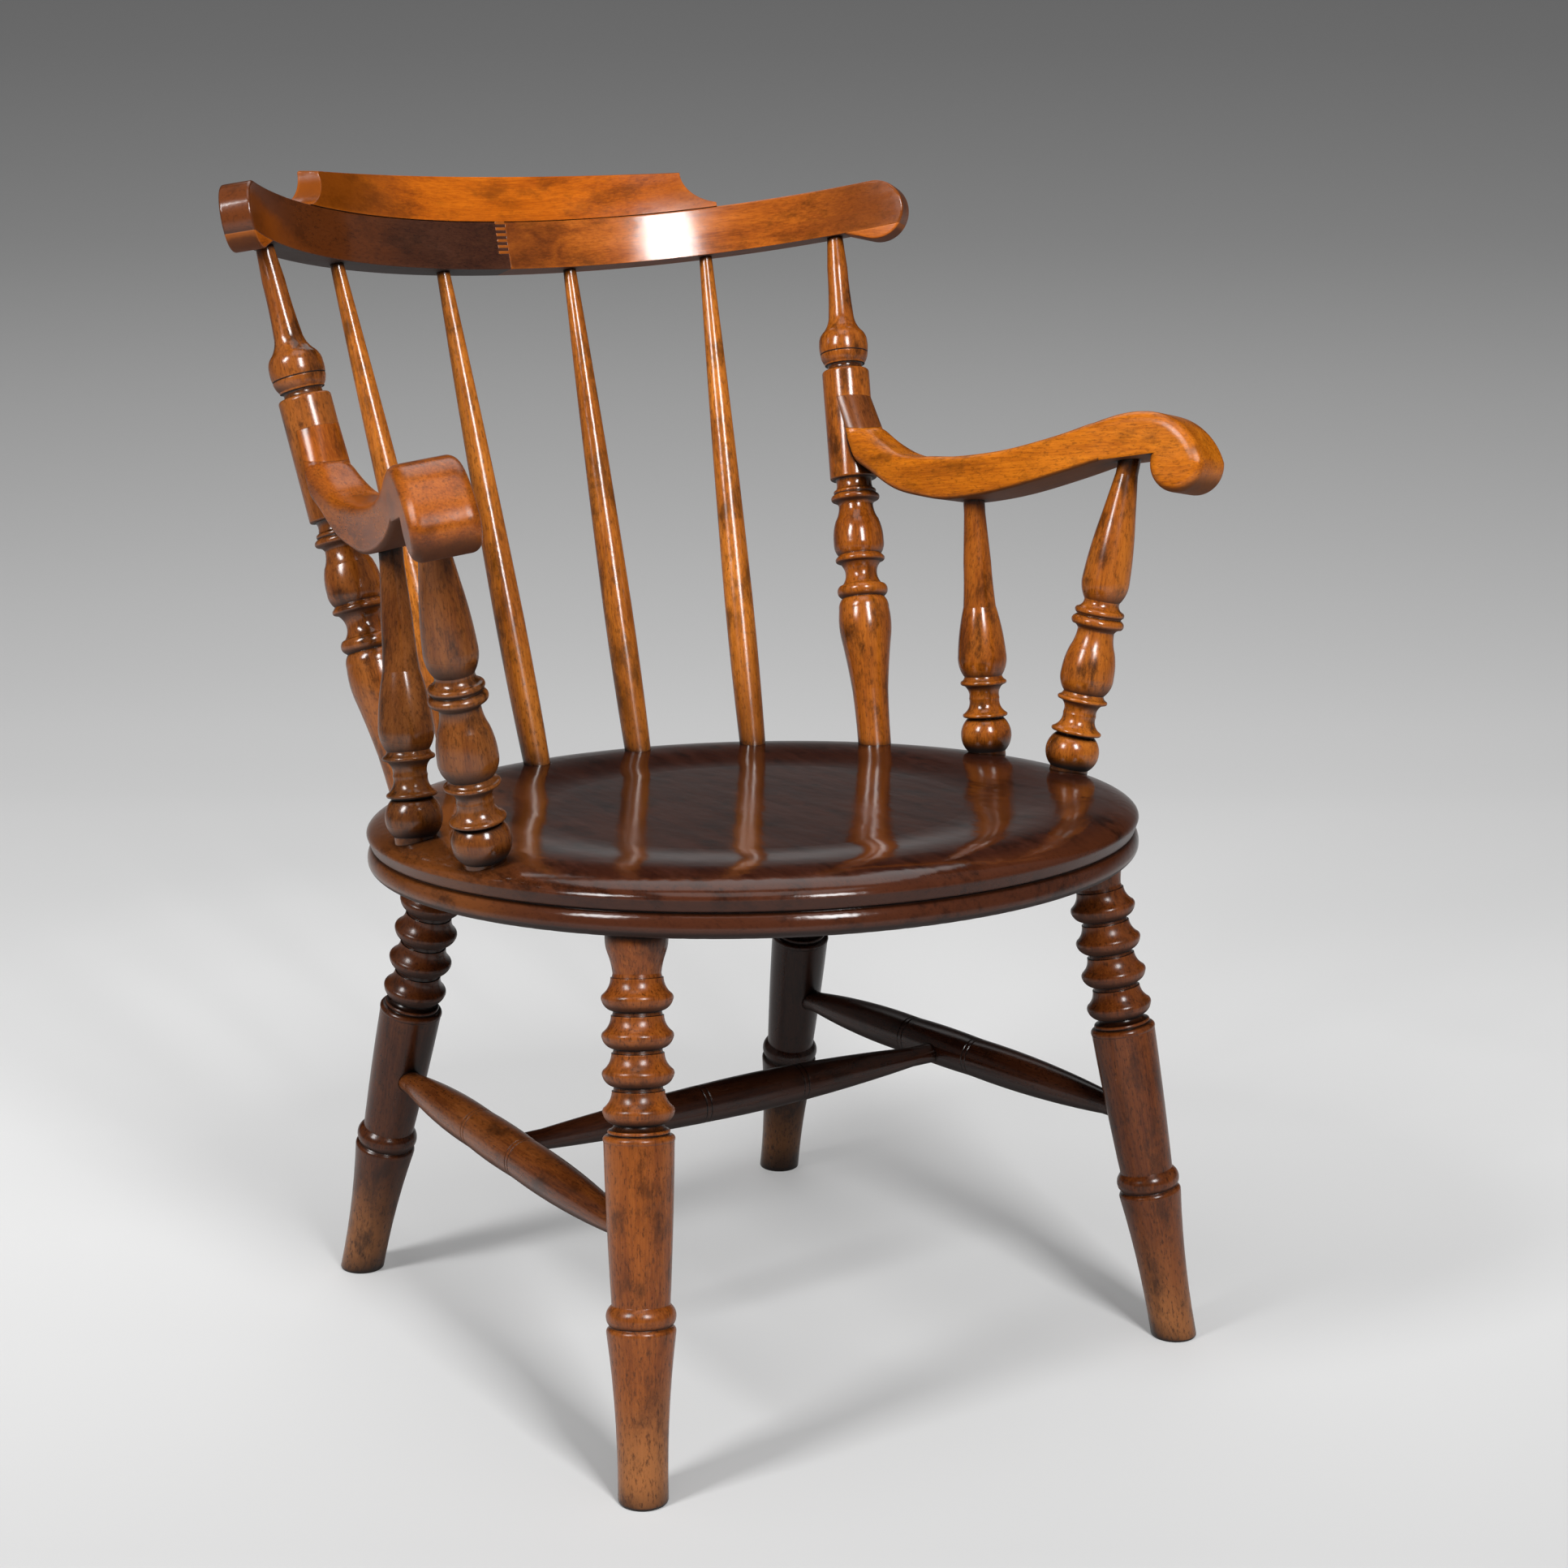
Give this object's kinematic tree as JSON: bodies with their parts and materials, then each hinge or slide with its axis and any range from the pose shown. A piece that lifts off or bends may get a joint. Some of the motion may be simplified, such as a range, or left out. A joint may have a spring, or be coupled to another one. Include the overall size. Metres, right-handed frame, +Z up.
{
  "type": "elbow chair",
  "caption": "Low-backed wooden elbow chair with a round seat, turned legs and stretchers, a bowed crest rail on spindles and scrolled arms, for sitting at a table.",
  "frame": {"origin": "middle of the chair's footprint, on the floor", "axes": "+Z up, -Y the way the sitter faces, +X the sitter's left"},
  "size_m": [0.5996, 0.5866, 0.752],
  "materials": {
    "seat_wood": "polished, gloss",
    "leg_wood": "polished, gloss",
    "turned_wood": "polished, gloss",
    "arm_wood": "polished, gloss",
    "arm_block_wood": "polished, gloss",
    "dark_rail_wood": "polished, gloss",
    "cresting_wood": "polished, gloss",
    "screw_steel": "plain"
  },
  "bodies": {
    "root": {"arm_back_block_left": "arm_block_wood", "arm_back_block_right": "arm_block_wood", "arm_left": "arm_wood", "arm_right": "arm_wood", "arm_screws": "screw_steel", "arm_stump_front_left": "turned_wood", "arm_stump_front_right": "turned_wood", "arm_stump_rear_left": "turned_wood", "arm_stump_rear_right": "turned_wood", "back_post_left": "turned_wood", "back_post_right": "turned_wood", "back_spindle_inner_left": "turned_wood", "back_spindle_inner_right": "turned_wood", "back_spindle_outer_left": "turned_wood", "back_spindle_outer_right": "turned_wood", "crest_ear_block_left": "arm_wood", "crest_ear_block_right": "arm_wood", "crest_rail_left": "arm_wood", "crest_rail_right": "dark_rail_wood", "cresting": "cresting_wood", "cross_stretcher": "leg_wood", "leg_back_left": "leg_wood", "leg_back_right": "leg_wood", "leg_front_left": "leg_wood", "leg_front_right": "leg_wood", "screw_pellets": "turned_wood", "seat": "seat_wood", "side_stretcher_left": "leg_wood", "side_stretcher_right": "leg_wood"}
  },
  "joints": []
}
